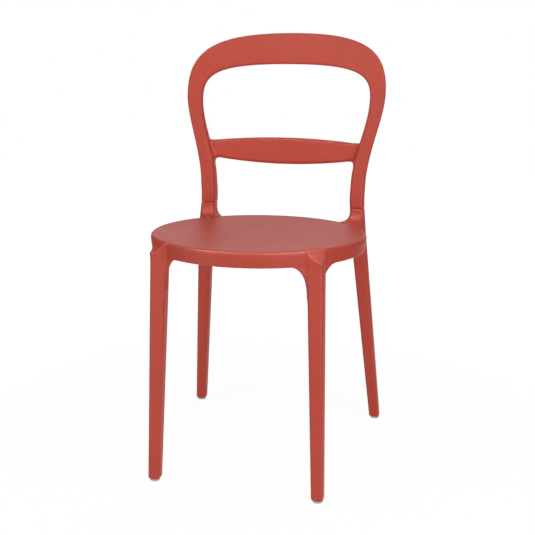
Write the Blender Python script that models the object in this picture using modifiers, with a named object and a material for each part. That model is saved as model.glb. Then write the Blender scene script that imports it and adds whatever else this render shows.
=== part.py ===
"""Stacking side chair in moulded plastic: seat and legs in one moulding, backrest plugged in behind.

Metres, +Z up. The origin is on the floor under the middle of the chair, and the front faces -Y. The
sizes below are laid out about the seat's axis, and the last step moves the whole chair to the origin.
"""
import math

import bmesh
import bpy
from mathutils import Matrix, Vector

# Fit between neighbouring pieces
CLEARANCE = 0.0003

# Seat: a round, dished disc with an apron hanging from its rim
SEAT_RADIUS = 0.2045
SEAT_HEIGHT = 0.455
SEAT_DISH = 0.009
SEAT_WALL = 0.0055
RIM_ROUND = 0.005
APRON_DEPTH = 0.0285
APRON_WALL = 0.0055
APRON_DRAFT = 0.003

# Legs: rounded square in section, thinner towards the floor
LEG_TOP_WIDTH = 0.0293
LEG_FOOT_WIDTH = 0.0221
LEG_FLARE = 0.002
FRONT_LEG_AZIMUTH = math.radians(-46.1)
REAR_LEG_AZIMUTH = math.radians(45.7)
FRONT_LEG_OFFSET = -0.0002
REAR_LEG_OFFSET = 0.034
FRONT_FOOT_SPLAY = (0.014, -0.014)
REAR_FOOT_SPLAY = (0.0395, 0.067)
ARCH_HEIGHT = 0.057
ARCH_WIDTH = 0.035
WEB_STEP = 0.0008

# Cone that trims the front leg heads between the rim and the crescent edge
HEAD_SLOPE_START = 0.001
HEAD_SLOPE_REACH = 0.0155
HEAD_SLOPE_DROP = 0.0165
HEAD_SLOPE_HOLLOW = 0.001

# Sockets behind the seat, and the backrest's tenons in them
SOCKET_RISE = 0.0275
SOCKET_TILT = (-0.0064, 0.0043)
POST_WIDTH = 0.0292
POST_DEPTH = 0.029
SHOULDER_REACH = 0.024
SHOULDER_RISE = 0.022
TENON_WIDTH = 0.016
TENON_DEPTH = 0.015
TENON_LENGTH = 0.052
TENON_ROOT = 0.010

# Backrest hoop, seen from the front. Heights are over the seat's rim.
HOOP_WIDEST = 0.2085
HOOP_WIDEST_HEIGHT = 0.2575
WINDOW_WIDEST_DROP = 0.012
HOOP_TOP_HEIGHT = 0.378
TOP_RAIL_WIDTH = 0.0632
SIDE_WIDTH = 0.0312
POST_LEAN_IN = 0.001
HOOP_THICKNESS = 0.014
LUMBAR_TOP_HEIGHT = 0.1585
LUMBAR_TOP_CROWN = 0.007
LUMBAR_WIDTH = 0.037
LUMBAR_BELLY = 0.011
LUMBAR_THICKNESS = 0.013
LUMBAR_RECESS = 0.005
LUMBAR_FILLET = 0.020

# Curve of the backrest in plan, and its lean, as y = lean * rise + bow * rise^2 - curve * x^2
BACK_CURVE = 0.5
BACK_LEAN = -0.032
BACK_BOW = 0.45

# Foot glides: a cap under each leg, and a stem pressed into its end
GLIDE_HEIGHT = 0.004
GLIDE_RADIUS = 0.0095
GLIDE_EDGE = 0.0012
STEM_RADIUS = 0.0045
STEM_LENGTH = 0.020

# Fixing of the backrest: a screw from inside the apron into a brass insert in the tenon
SCREW_RADIUS = 0.0025
SCREW_HEAD_RADIUS = 0.0048
SCREW_HEAD_HEIGHT = 0.0028
DRIVE_RADIUS = 0.0018
DRIVE_DEPTH = 0.0014
WASHER_RADIUS = 0.0058
WASHER_THICKNESS = 0.0012
INSERT_RADIUS = 0.0042
INSERT_LENGTH = 0.010
SCREW_DROP = 0.0175
SCREW_WALL = 0.006
WELL_MARGIN = 0.0012

# Facets
SEAT_STEPS = 72
SECTION_POINTS = 20
SECTION_SQUARENESS = 3.8
ROUND_STEPS = 24
EDGE_STEPS = 4

# Heights and places that follow from the sizes above
APRON_BOTTOM = SEAT_HEIGHT - APRON_DEPTH
LEG_BOTTOM = GLIDE_HEIGHT + CLEARANCE
SEAM_HEIGHT = SEAT_HEIGHT + SOCKET_RISE
LEG_HEAD_HEIGHT = APRON_BOTTOM - 0.3 * LEG_TOP_WIDTH
FRONT_HEAD_TOP = SEAT_HEIGHT - 0.4 * SEAT_WALL


def polar(radius, azimuth):
    """Point in plan at a radius from the seat's axis; azimuth 0 points to +X."""
    return Vector((radius * math.cos(azimuth), radius * math.sin(azimuth)))


FRONT_HEAD = polar(SEAT_RADIUS + FRONT_LEG_OFFSET, FRONT_LEG_AZIMUTH)
REAR_HEAD = polar(SEAT_RADIUS + REAR_LEG_OFFSET, REAR_LEG_AZIMUTH)
FRONT_FOOT = FRONT_HEAD + Vector(FRONT_FOOT_SPLAY)
REAR_FOOT = REAR_HEAD + Vector(REAR_FOOT_SPLAY)
SEAM = REAR_HEAD + Vector(SOCKET_TILT)
SEAM_TURN = -math.atan(2 * BACK_CURVE * SEAM.x)


def clear_scene():
    """Remove the objects that Blender starts with."""
    for item in list(bpy.data.objects):
        bpy.data.objects.remove(item, do_unlink=True)


def make_collection(name):
    """New collection in the scene."""
    collection = bpy.data.collections.new(name)
    bpy.context.scene.collection.children.link(collection)
    return collection


def make_material(name, colour, roughness, metallic=0.0):
    """Principled material of one colour."""
    material = bpy.data.materials.new(name)
    material.use_nodes = True
    shader = material.node_tree.nodes["Principled BSDF"]
    shader.inputs["Base Color"].default_value = (*colour, 1.0)
    shader.inputs["Roughness"].default_value = roughness
    shader.inputs["Metallic"].default_value = metallic
    return material


def add_object(name, mesh, collection, material=None):
    """Object for a mesh, smooth over its round faces."""
    item = bpy.data.objects.new(name, mesh)
    collection.objects.link(item)
    if material:
        mesh.materials.append(material)
    mesh.shade_smooth()
    mesh.set_sharp_from_angle(angle=math.radians(35))
    return item


def loft(name, rings, collection, material=None):
    """Closed solid through rings of points, all with the same count, capped at both ends."""
    shape = bmesh.new()
    loops = [[shape.verts.new(point) for point in ring] for ring in rings]
    count = len(rings[0])
    for lower, upper in zip(loops, loops[1:]):
        for i in range(count):
            j = (i + 1) % count
            shape.faces.new((lower[i], lower[j], upper[j], upper[i]))
    shape.faces.new(loops[0])
    shape.faces.new(loops[-1])
    bmesh.ops.recalc_face_normals(shape, faces=shape.faces)
    mesh = bpy.data.meshes.new(name)
    shape.to_mesh(mesh)
    shape.free()
    return add_object(name, mesh, collection, material)


def turned(name, profile, collection, material=None, steps=ROUND_STEPS):
    """Solid of revolution about Z from a profile of (radius, height), top of the outer side first.

    A profile that starts off the axis is closed back to its first point, as a ring.
    """
    mesh = bpy.data.meshes.new(name)
    points = [(radius, 0.0, height) for radius, height in profile]
    edges = [(i, i + 1) for i in range(len(points) - 1)]
    if profile[0][0] > 0:
        edges.append((len(points) - 1, 0))
    mesh.from_pydata(points, edges, [])
    item = add_object(name, mesh, collection, material)
    screw = item.modifiers.new("Turn", "SCREW")
    screw.steps = steps
    screw.render_steps = steps
    screw.use_merge_vertices = True
    screw.merge_threshold = 0.00001
    return item


def join_and_cut(item, joined, cutters):
    """Boolean modifiers that join solids to an item and then cut others out of it."""
    for operation, tools in (("UNION", joined), ("DIFFERENCE", cutters)):
        for tool in tools:
            boolean = item.modifiers.new(tool.name, "BOOLEAN")
            boolean.operation = operation
            boolean.object = tool
            tool.hide_render = True
            tool.display_type = "WIRE"


def unit_section():
    """Points of a rounded square from -1 to 1 each way: a superellipse."""
    points = []
    for i in range(SECTION_POINTS):
        angle = 2 * math.pi * i / SECTION_POINTS
        across = math.copysign(abs(math.cos(angle)) ** (2 / SECTION_SQUARENESS), math.cos(angle))
        along = math.copysign(abs(math.sin(angle)) ** (2 / SECTION_SQUARENESS), math.sin(angle))
        points.append((across, along))
    return points


def rounded_ring(centre, width, depth, height, turn=0.0):
    """Level ring of a rounded rectangle about a point in plan, turned about Z."""
    ring = []
    for across, along in unit_section():
        offset = Vector((across * width / 2, along * depth / 2))
        offset.rotate(Matrix.Rotation(turn, 2))
        ring.append(Vector((centre.x + offset.x, centre.y + offset.y, height)))
    return ring


def blend(start, end, share):
    """Value part of the way from start to end."""
    return start + (end - start) * share


def ease(share):
    """Share of a smooth step, from 0 to 1."""
    share = min(max(share, 0.0), 1.0)
    return share * share * (3 - 2 * share)


def mirrored(rings):
    """The same rings on the other side of the chair."""
    return [[Vector((-point.x, point.y, point.z)) for point in reversed(ring)] for ring in rings]


def corner_arc(centre_radius, centre_height, radius, start, end):
    """Points of a profile's round corner, between two angles in degrees."""
    points = []
    for i in range(EDGE_STEPS + 1):
        angle = math.radians(blend(start, end, i / EDGE_STEPS))
        points.append((centre_radius + radius * math.cos(angle), centre_height + radius * math.sin(angle)))
    return points


def seat_profile():
    """Turned profile of the seat: dish, round rim, apron with its draft, and the hollow underneath."""
    flat_edge = SEAT_RADIUS - RIM_ROUND
    dish = []
    steps = 10
    for i in range(steps + 1):
        radius = flat_edge * i / steps
        dish.append((radius, SEAT_HEIGHT - SEAT_DISH * (1 - (radius / flat_edge) ** 2)))
    rim = corner_arc(flat_edge, SEAT_HEIGHT - RIM_ROUND, RIM_ROUND, 90, 0)
    apron_foot = SEAT_RADIUS - APRON_DRAFT
    inner_foot = apron_foot - APRON_WALL
    outside = [(apron_foot, APRON_BOTTOM), (inner_foot, APRON_BOTTOM)]
    narrowing = inner_foot / flat_edge
    underside = [(radius * narrowing, height - SEAT_WALL) for radius, height in reversed(dish)]
    return dish + rim[1:] + outside + underside


def leg_rings(head, foot):
    """Rings of a straight leg, from its end over the glide up to its head."""
    rings = []
    foot_round = 0.0015
    levels = [(LEG_BOTTOM, foot_round), (LEG_BOTTOM + foot_round, 0.0)]
    levels += [(blend(LEG_BOTTOM, LEG_HEAD_HEIGHT, share), 0.0) for share in (0.35, 0.7, 1.0)]
    for height, inset in levels:
        share = height / LEG_HEAD_HEIGHT
        width = blend(LEG_FOOT_WIDTH, LEG_TOP_WIDTH, share) - 2 * inset
        rings.append(rounded_ring(blend(foot, head, share), width, width, height))
    return rings


def front_leg_rings():
    """Front leg: its head widens a little and ends inside the seat's rim."""
    rings = leg_rings(FRONT_HEAD, FRONT_FOOT)
    for share in (0.5, 1.0):
        height = blend(LEG_HEAD_HEIGHT, FRONT_HEAD_TOP, share)
        width = LEG_TOP_WIDTH + LEG_FLARE * ease(share)
        rings.append(rounded_ring(FRONT_HEAD, width, width, height))
    return rings


def socket_share(height):
    """How far a height is up the socket, from the leg's head to the seam."""
    return (height - LEG_HEAD_HEIGHT) / (SEAM_HEIGHT - LEG_HEAD_HEIGHT)


def socket_axis(height):
    """Middle of the socket in plan at a height."""
    return blend(REAR_HEAD, SEAM, socket_share(height))


def rear_leg_rings():
    """Rear leg: passes outside the rim, reaches in to the seat as a shoulder, and ends as a socket."""
    rings = leg_rings(REAR_HEAD, REAR_FOOT)
    apron_middle = blend(APRON_BOTTOM, SEAT_HEIGHT, 0.5)
    levels = [(APRON_BOTTOM, 0.8), (apron_middle, 1.0), (SEAT_HEIGHT - SEAT_WALL, 1.0)]
    for share in (0.0, 0.03, 0.12, 0.3, 0.6, 1.0):
        fillet = 1 - math.sqrt(1 - (1 - share) ** 2)
        levels.append((SEAT_HEIGHT + SHOULDER_RISE * share, fillet))
    levels.append((SEAM_HEIGHT, 0.0))
    for height, shoulder in levels:
        share = socket_share(height)
        width = blend(LEG_TOP_WIDTH, POST_WIDTH, ease(2 * share))
        depth = blend(LEG_TOP_WIDTH, POST_DEPTH, ease(2 * share))
        ring = rounded_ring(socket_axis(height), width, depth, height, SEAM_TURN * ease(share))
        rings.append(stretched(ring, socket_axis(height), SHOULDER_REACH * shoulder))
    return rings


def stretched(ring, centre, reach):
    """The same ring with its side towards the seat's axis moved in by a reach."""
    inward = -polar(1.0, REAR_LEG_AZIMUTH)
    moved = []
    for point in ring:
        faces_in = (point.xy - centre).dot(inward) > 0
        shift = inward * reach if faces_in else Vector((0.0, 0.0))
        moved.append(Vector((point.x + shift.x, point.y + shift.y, point.z)))
    return moved


def arch_rings(azimuth):
    """Rings of the curved web that runs from a leg's sides into the apron's lower edge."""
    rings = []
    steps = 6
    arc_points = 10
    leg_half = 0.43 * LEG_TOP_WIDTH / SEAT_RADIUS
    for i in range(steps + 1):
        angle = math.pi / 2 * i / steps
        height = APRON_BOTTOM - ARCH_HEIGHT * (1 - math.sin(angle))
        half = leg_half + ARCH_WIDTH / SEAT_RADIUS * (1 - math.cos(angle))
        rings.append(web_ring(azimuth, half, height, arc_points))
    rings.append(web_ring(azimuth, half, APRON_BOTTOM + APRON_WALL, arc_points))
    return rings


def web_ring(azimuth, half, height, arc_points):
    """Level ring of a piece of the apron's wall, half to each side of an azimuth."""
    outer = SEAT_RADIUS - APRON_DRAFT - WEB_STEP
    angles = [azimuth + blend(-half, half, i / (arc_points - 1)) for i in range(arc_points)]
    outside = [polar(outer, angle) for angle in angles]
    inside = [polar(outer - APRON_WALL + 2 * WEB_STEP, angle) for angle in reversed(angles)]
    return [Vector((point.x, point.y, height)) for point in outside + inside]


def head_trim_profile():
    """Cutter turned about the seat's axis: takes off what stands above the sloped leg heads."""
    inner = SEAT_RADIUS - HEAD_SLOPE_START
    top = SEAT_HEIGHT + APRON_DEPTH
    start = Vector((inner, FRONT_HEAD_TOP))
    end = start + Vector((HEAD_SLOPE_REACH, -HEAD_SLOPE_DROP))
    steps = 6
    slope = []
    for i in range(steps + 1):
        share = i / steps
        sag = HEAD_SLOPE_HOLLOW * 4 * share * (1 - share)
        slope.append(blend(start, end, share) - Vector((sag, sag)))
    outer = end.x + APRON_DEPTH
    profile = [(inner, top), (outer, top), (outer, end.y)]
    profile += [(point.x, point.y) for point in reversed(slope)]
    return profile


def back_y(x, rise):
    """Middle surface of the backrest: y at a place across and a height above the seam."""
    start = SEAM.y + BACK_CURVE * SEAM.x ** 2
    return start + BACK_LEAN * rise + BACK_BOW * rise ** 2 - BACK_CURVE * x ** 2


def bezier(points, share):
    """Point of a cubic curve in the front view."""
    a, b, c, d = (Vector(point) for point in points)
    rest = 1 - share
    return a * rest ** 3 + b * 3 * rest ** 2 * share + c * 3 * rest * share ** 2 + d * share ** 3


def hoop_outlines():
    """Right half of the hoop in the front view, from the seam to the top: outer and inner curves."""
    seam = SEAM_HEIGHT + CLEARANCE
    neck = blend(seam, SEAT_HEIGHT + LUMBAR_TOP_HEIGHT, 0.3)
    widest = SEAT_HEIGHT + HOOP_WIDEST_HEIGHT
    top = SEAT_HEIGHT + HOOP_TOP_HEIGHT
    post_out = SEAM.x + POST_WIDTH / 2
    post_in = SEAM.x - POST_WIDTH / 2
    side_in = HOOP_WIDEST - SIDE_WIDTH
    inner_top = top - TOP_RAIL_WIDTH
    inner_widest = widest - WINDOW_WIDEST_DROP
    climb = widest - neck
    outer = (
        ((post_out, seam), (post_out - POST_LEAN_IN, blend(seam, neck, 0.4)),
         (post_out - POST_LEAN_IN, blend(seam, neck, 0.7)), (post_out, neck)),
        ((post_out, neck), (post_out, neck + 0.38 * climb),
         (HOOP_WIDEST, widest - 0.28 * climb), (HOOP_WIDEST, widest)),
        ((HOOP_WIDEST, widest), (HOOP_WIDEST, widest + 0.70 * (top - widest)),
         (0.78 * HOOP_WIDEST, top), (0.0, top)))
    inner = (
        ((post_in, seam), (post_in - POST_LEAN_IN, blend(seam, neck, 0.4)),
         (post_in - POST_LEAN_IN, blend(seam, neck, 0.7)), (post_in, neck)),
        ((post_in, neck), (post_in, neck + 0.36 * climb),
         (side_in, inner_widest - 0.30 * climb), (side_in, inner_widest)),
        ((side_in, inner_widest), (side_in, inner_widest + 0.68 * (inner_top - inner_widest)),
         (0.87 * side_in, inner_top), (0.0, inner_top)))
    return outer, inner


def hoop_section(outer, inner, thickness):
    """Ring round the hoop's band between an outer and an inner point of the front view."""
    middle = (outer + inner) / 2
    half = (outer - inner) / 2
    rise = middle.y - SEAM_HEIGHT
    slope = BACK_LEAN + 2 * BACK_BOW * rise
    lean = math.atan(slope)
    ring = []
    for across, depth in unit_section():
        place = middle + half * across
        y = back_y(place.x, place.y - SEAM_HEIGHT) - depth * thickness / 2 * math.cos(lean)
        z = place.y + depth * thickness / 2 * math.sin(lean)
        ring.append(Vector((place.x, y, z)))
    return ring


def hoop_rings():
    """Rings from the right seam over the top to the left seam."""
    outer, inner = hoop_outlines()
    counts = (3, 10, 10)
    right = []
    for part, count in enumerate(counts):
        for i in range(count):
            share = i / count
            outer_point = bezier(outer[part], share)
            inner_point = bezier(inner[part], share)
            slim = ease((outer_point.y - SEAM_HEIGHT) / HOOP_WIDEST_HEIGHT)
            thickness = blend(POST_DEPTH, HOOP_THICKNESS, slim)
            right.append(hoop_section(outer_point, inner_point, thickness))
    crown = hoop_section(bezier(outer[2], 1.0), bezier(inner[2], 1.0), HOOP_THICKNESS)
    left = [[Vector((-point.x, point.y, point.z)) for point in ring] for ring in reversed(right)]
    return right + [crown] + left


def level_end_rings(rings):
    """Set the two end rings at the seam level, so that each post meets its socket flat."""
    for ring in (rings[0], rings[-1]):
        for point in ring:
            point.z = SEAM_HEIGHT + CLEARANCE


def lumbar_rings():
    """Rings of the lumbar rail, from one side to the other, ending inside the hoop's sides."""
    top_end = SEAT_HEIGHT + LUMBAR_TOP_HEIGHT
    reach = SEAM.x - 0.1 * POST_WIDTH
    post_face = SEAM.x - POST_WIDTH / 2 + 0.004
    steps = 24
    rings = []
    for i in range(steps + 1):
        x = blend(-reach, reach, i / steps)
        share = min(1.0, abs(x) / post_face)
        top = top_end + LUMBAR_TOP_CROWN * (1 - share ** 2)
        bottom = top_end - LUMBAR_WIDTH - LUMBAR_BELLY * (1 - share ** 2)
        into_fillet = min(1.0, max(0.0, abs(x) - (post_face - LUMBAR_FILLET)) / LUMBAR_FILLET)
        bottom -= LUMBAR_FILLET * (1 - math.sqrt(1 - into_fillet ** 2))
        rings.append(lumbar_section(x, top, bottom))
    return rings


def lumbar_section(x, top, bottom):
    """Ring round the lumbar rail at a place across the chair."""
    ring = []
    for up, depth in unit_section():
        z = (top + bottom) / 2 + up * (top - bottom) / 2
        y = back_y(x, z - SEAM_HEIGHT) + LUMBAR_RECESS - depth * LUMBAR_THICKNESS / 2
        ring.append(Vector((x, y, z)))
    return ring


def tenon_rings(extra):
    """Rings of a tenon, or of its socket when extra is the clearance round it."""
    bottom = SEAM_HEIGHT - TENON_LENGTH - extra
    top = SEAM_HEIGHT + TENON_ROOT
    rings = []
    for height in (bottom, top):
        centre = socket_axis(height)
        depth = TENON_DEPTH + 2 * extra
        width = TENON_WIDTH + 2 * extra
        rings.append(rounded_ring(centre, depth, width, height, REAR_LEG_AZIMUTH))
    return rings


def screw_matrix(side, distance):
    """Matrix that lays a turned piece's Z outward along the screw, at a distance from the tenon's middle."""
    height = SEAT_HEIGHT - SCREW_DROP
    axis = socket_axis(height)
    azimuth = REAR_LEG_AZIMUTH if side > 0 else math.pi - REAR_LEG_AZIMUTH
    place = Matrix.Translation((side * axis.x, axis.y, height)) @ Matrix.Rotation(azimuth, 4, "Z")
    return place @ Matrix.Translation((distance, 0, 0)) @ Matrix.Rotation(math.pi / 2, 4, "Y")


def both_sides(name, rings, collection):
    """The same loft on the right and on the left of the chair."""
    return [loft(name + "_right", rings, collection), loft(name + "_left", mirrored(rings), collection)]


def rod_profile(radius, low, high):
    """Turned profile of a plain cylinder."""
    return [(0.0, high), (radius, high), (radius, low), (0.0, low)]


def tube_profile(outer, inner, low, high):
    """Turned profile of a ring with a bore."""
    return [(inner, high), (outer, high), (outer, low), (inner, low)]


def build_seat_frame(parts, cutters, material):
    """Seat, legs and sockets in one moulding."""
    frame = turned("seat_frame", seat_profile(), parts, material, SEAT_STEPS)
    front_legs = both_sides("front_leg", front_leg_rings(), cutters)
    rear_legs = both_sides("rear_leg", rear_leg_rings(), cutters)
    trim = turned("head_trim", head_trim_profile(), cutters, None, SEAT_STEPS)
    trim.rotation_euler.z = math.pi / SEAT_STEPS
    for leg in front_legs:
        join_and_cut(leg, [], [trim])
    arches = both_sides("arch", arch_rings(FRONT_LEG_AZIMUTH), cutters)
    sockets = both_sides("socket", tenon_rings(CLEARANCE), cutters)
    bores = [stem_bore(name, place, cutters) for name, place in foot_places()]
    wells = []
    for side, word in ((1, "right"), (-1, "left")):
        wells += screw_holes(side, word, cutters)
    join_and_cut(frame, front_legs + rear_legs + arches, wells + sockets + bores)


def foot_places():
    """Name and place in plan of each foot."""
    places = []
    for row, foot in (("front", FRONT_FOOT), ("rear", REAR_FOOT)):
        places.append((row + "_left", Vector((-foot.x, foot.y))))
        places.append((row + "_right", foot))
    return places


def stem_bore(name, place, cutters):
    """Blind bore in a leg's end for its glide's stem."""
    top = LEG_BOTTOM + STEM_LENGTH + CLEARANCE
    profile = rod_profile(STEM_RADIUS + CLEARANCE, LEG_BOTTOM - GLIDE_HEIGHT, top)
    bore = turned("stem_bore_" + name, profile, cutters)
    bore.location = (place.x, place.y, 0.0)
    return bore


def screw_seat():
    """Distance from the tenon's middle in to the wall face that the washer bears on."""
    return -(TENON_DEPTH / 2 + CLEARANCE + SCREW_WALL)


def screw_holes(side, word, cutters):
    """Well for the screw's head in the shoulder, and the hole on into the socket."""
    reach = SHOULDER_REACH + POST_DEPTH
    well_radius = WASHER_RADIUS + WELL_MARGIN
    well = turned("well_" + word, rod_profile(well_radius, -reach, 0.0), cutters)
    well.matrix_world = screw_matrix(side, screw_seat()) @ Matrix.Rotation(math.pi / ROUND_STEPS, 4, "Z")
    hole_profile = rod_profile(SCREW_RADIUS + CLEARANCE, -WELL_MARGIN, 2 * SCREW_WALL)
    hole = turned("hole_" + word, hole_profile, cutters)
    hole.matrix_world = screw_matrix(side, screw_seat())
    return [well, hole]


def build_backrest(parts, cutters, material):
    """Hoop with its lumbar rail and tenons in one moulding."""
    rings = hoop_rings()
    level_end_rings(rings)
    hoop = loft("backrest_hoop", rings, parts, material)
    rail = loft("lumbar_rail", lumbar_rings(), cutters)
    tenons = both_sides("tenon", tenon_rings(0.0), cutters)
    bores = []
    for side, word in ((1, "right"), (-1, "left")):
        profile = rod_profile(INSERT_RADIUS + CLEARANCE, -WELL_MARGIN, INSERT_LENGTH + 2 * CLEARANCE)
        bore = turned("insert_bore_" + word, profile, cutters)
        bore.matrix_world = screw_matrix(side, -TENON_DEPTH / 2)
        bores.append(bore)
    join_and_cut(hoop, [rail] + tenons, bores)


def build_glides(parts, material):
    """Foot glides: a cap with a rounded edge and a stem, turned in one."""
    cap_top = GLIDE_HEIGHT
    stem_top = GLIDE_HEIGHT + STEM_LENGTH
    cap_edge = corner_arc(GLIDE_RADIUS - GLIDE_EDGE, GLIDE_EDGE, GLIDE_EDGE, 0, -90)
    profile = [(0.0, stem_top), (STEM_RADIUS - GLIDE_EDGE / 2, stem_top)]
    profile += [(STEM_RADIUS, stem_top - GLIDE_EDGE)]
    profile += [(STEM_RADIUS, cap_top), (GLIDE_RADIUS, cap_top)] + cap_edge + [(0.0, 0.0)]
    for name, place in foot_places():
        glide = turned("glide_" + name, profile, parts, material)
        glide.location = (place.x, place.y, 0.0)


def build_fixings(parts, steel, brass):
    """Screw, washer and threaded insert at each socket, along one axis."""
    washer_high = -CLEARANCE
    washer_low = washer_high - WASHER_THICKNESS
    head_high = washer_low - CLEARANCE
    head_low = head_high - SCREW_HEAD_HEIGHT
    tip = CLEARANCE + SCREW_WALL + INSERT_LENGTH - SCREW_RADIUS / 2
    head_round = SCREW_HEAD_HEIGHT * 0.4
    screw = [(0.0, tip), (SCREW_RADIUS * 0.6, tip), (SCREW_RADIUS, tip - SCREW_RADIUS * 0.4)]
    screw += [(SCREW_RADIUS, head_high), (SCREW_HEAD_RADIUS, head_high)]
    screw += [(SCREW_HEAD_RADIUS, head_low + head_round)]
    screw += [(SCREW_HEAD_RADIUS - head_round, head_low), (DRIVE_RADIUS, head_low)]
    screw += [(DRIVE_RADIUS, head_low + DRIVE_DEPTH), (0.0, head_low + DRIVE_DEPTH)]
    washer = tube_profile(WASHER_RADIUS, SCREW_RADIUS + CLEARANCE, washer_low, washer_high)
    insert = tube_profile(INSERT_RADIUS, SCREW_RADIUS + CLEARANCE, 0.0, INSERT_LENGTH)
    for side, word in ((1, "right"), (-1, "left")):
        pieces = (("screw_", screw, steel, screw_seat()), ("washer_", washer, steel, screw_seat()),
                  ("insert_", insert, brass, -TENON_DEPTH / 2))
        for name, profile, material, distance in pieces:
            piece = turned(name + word, profile, parts, material)
            piece.matrix_world = screw_matrix(side, distance)


def centre_on_floor(parts, cutters):
    """Hang everything on one empty, and move it so that the origin is under the middle of the chair."""
    origin = bpy.data.objects.new("origin", None)
    parts.objects.link(origin)
    for item in list(parts.objects) + list(cutters.objects):
        if item != origin:
            item.parent = origin
    bpy.context.view_layer.update()
    depsgraph = bpy.context.evaluated_depsgraph_get()
    reach = []
    for item in parts.objects:
        if item.type == "MESH":
            shown = item.evaluated_get(depsgraph)
            reach += [(shown.matrix_world @ Vector(corner)).y for corner in shown.bound_box]
    origin.location.y = -(min(reach) + max(reach)) / 2


def main():
    """Build the chair."""
    clear_scene()
    parts = make_collection("side_chair")
    cutters = make_collection("cutters")
    plastic = make_material("red_plastic", (0.50, 0.075, 0.05), 0.45)
    glide = make_material("pale_glide", (0.62, 0.62, 0.60), 0.5)
    steel = make_material("zinc_steel", (0.62, 0.62, 0.64), 0.35, 1.0)
    brass = make_material("brass", (0.75, 0.55, 0.25), 0.35, 1.0)
    build_seat_frame(parts, cutters, plastic)
    build_backrest(parts, cutters, plastic)
    build_glides(parts, glide)
    build_fixings(parts, steel, brass)
    centre_on_floor(parts, cutters)


main()
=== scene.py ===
"""Looks of the moulded plastic side chair: smooth mouldings, materials, floor, light and camera.

Metres, +Z up. The chair's front faces -Y. The two mouldings are fields of distance to their surface,
laid out about the seat's upright axis. A field is negative inside the material. Because the chair is
the same on both sides, a field is worked out for its right half, with x made positive.
"""
import math

import bpy
import numpy as np
from mathutils import Matrix, Vector


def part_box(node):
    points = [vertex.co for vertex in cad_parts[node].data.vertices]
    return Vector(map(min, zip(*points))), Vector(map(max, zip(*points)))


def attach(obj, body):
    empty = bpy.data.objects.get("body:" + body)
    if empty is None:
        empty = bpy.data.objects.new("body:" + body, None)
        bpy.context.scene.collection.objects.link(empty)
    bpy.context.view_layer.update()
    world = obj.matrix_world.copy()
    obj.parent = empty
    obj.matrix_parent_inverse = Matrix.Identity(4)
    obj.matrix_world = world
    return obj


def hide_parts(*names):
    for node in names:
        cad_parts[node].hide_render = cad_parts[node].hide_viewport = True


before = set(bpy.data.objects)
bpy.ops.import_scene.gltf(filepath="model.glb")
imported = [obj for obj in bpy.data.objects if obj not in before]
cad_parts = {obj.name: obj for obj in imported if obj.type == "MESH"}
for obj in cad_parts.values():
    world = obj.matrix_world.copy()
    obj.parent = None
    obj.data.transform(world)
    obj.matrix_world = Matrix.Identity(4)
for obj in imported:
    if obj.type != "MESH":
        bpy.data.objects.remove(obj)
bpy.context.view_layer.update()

# Seat
SEAT_RADIUS = 0.2045
SEAT_HEIGHT = 0.455
SEAT_DISH = 0.009
SEAT_WALL = 0.0055
RIM_ROUND = 0.005
RIM_BLEND = 0.0085
APRON_DEPTH = 0.0285
APRON_WALL = 0.0055
APRON_DRAFT = 0.003
APRON_EDGE_ROUND = 0.0022
HOLLOW_ROUND = 0.008
HOLLOW_EDGE_ROUND = 0.0018

# Legs
LEG_TOP_WIDTH = 0.0293
LEG_FOOT_WIDTH = 0.0221
LEG_ROUND_SHARE = 0.5
LEG_FLARE = 0.002
LEG_HEAD_ROUND = 0.001
FRONT_LEG_AZIMUTH = math.radians(-46.1)
REAR_LEG_AZIMUTH = math.radians(45.7)
FRONT_LEG_OFFSET = -0.0002
REAR_LEG_OFFSET = 0.034
FRONT_FOOT_SPLAY = (0.014, -0.014)
REAR_FOOT_SPLAY = (0.0395, 0.067)
ARCH_HEIGHT = 0.057
ARCH_WIDTH = 0.035
ARCH_START_SHARE = 0.43
HEAD_SLOPE_START = 0.001
HEAD_SLOPE_REACH = 0.0155
HEAD_SLOPE_DROP = 0.0165
HEAD_SLOPE_HOLLOW = 0.001
HEAD_SLOPE_ROUND = 0.0022
LEG_BOTTOM = 0.0043
LEG_BOTTOM_ROUND = 0.004
FRONT_LEG_FILLET = 0.007
REAR_LEG_FILLET = 0.005

# Sockets, tenons and fixing holes
SOCKET_RISE = 0.0275
SOCKET_TILT = (-0.0064, 0.0043)
POST_WIDTH = 0.0292
POST_DEPTH = 0.029
POST_ROUND = 0.008
SEAM_ROUND = 0.0014
SHOULDER_REACH = 0.024
SHOULDER_RISE = 0.022
SHOULDER_TIP = 0.004
SHOULDER_STEEPEST = 0.16
TENON_WIDTH = 0.016
TENON_DEPTH = 0.015
TENON_LENGTH = 0.052
TENON_ROUND = 0.002
TENON_OVERLAP = 0.010
SCREW_DROP = 0.0175
SCREW_WALL = 0.006
WELL_RADIUS = 0.007
WELL_LENGTH = 0.045
HOLE_RADIUS = 0.0028
HOLE_OVERLAP = 0.002
HOLE_EDGE_ROUND = 0.0010
INSERT_BORE = 0.0045
INSERT_LENGTH = 0.010
INSERT_EDGE_ROUND = 0.0008
STEM_BORE = 0.0048
STEM_LENGTH = 0.020
CLEARANCE = 0.0003

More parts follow.
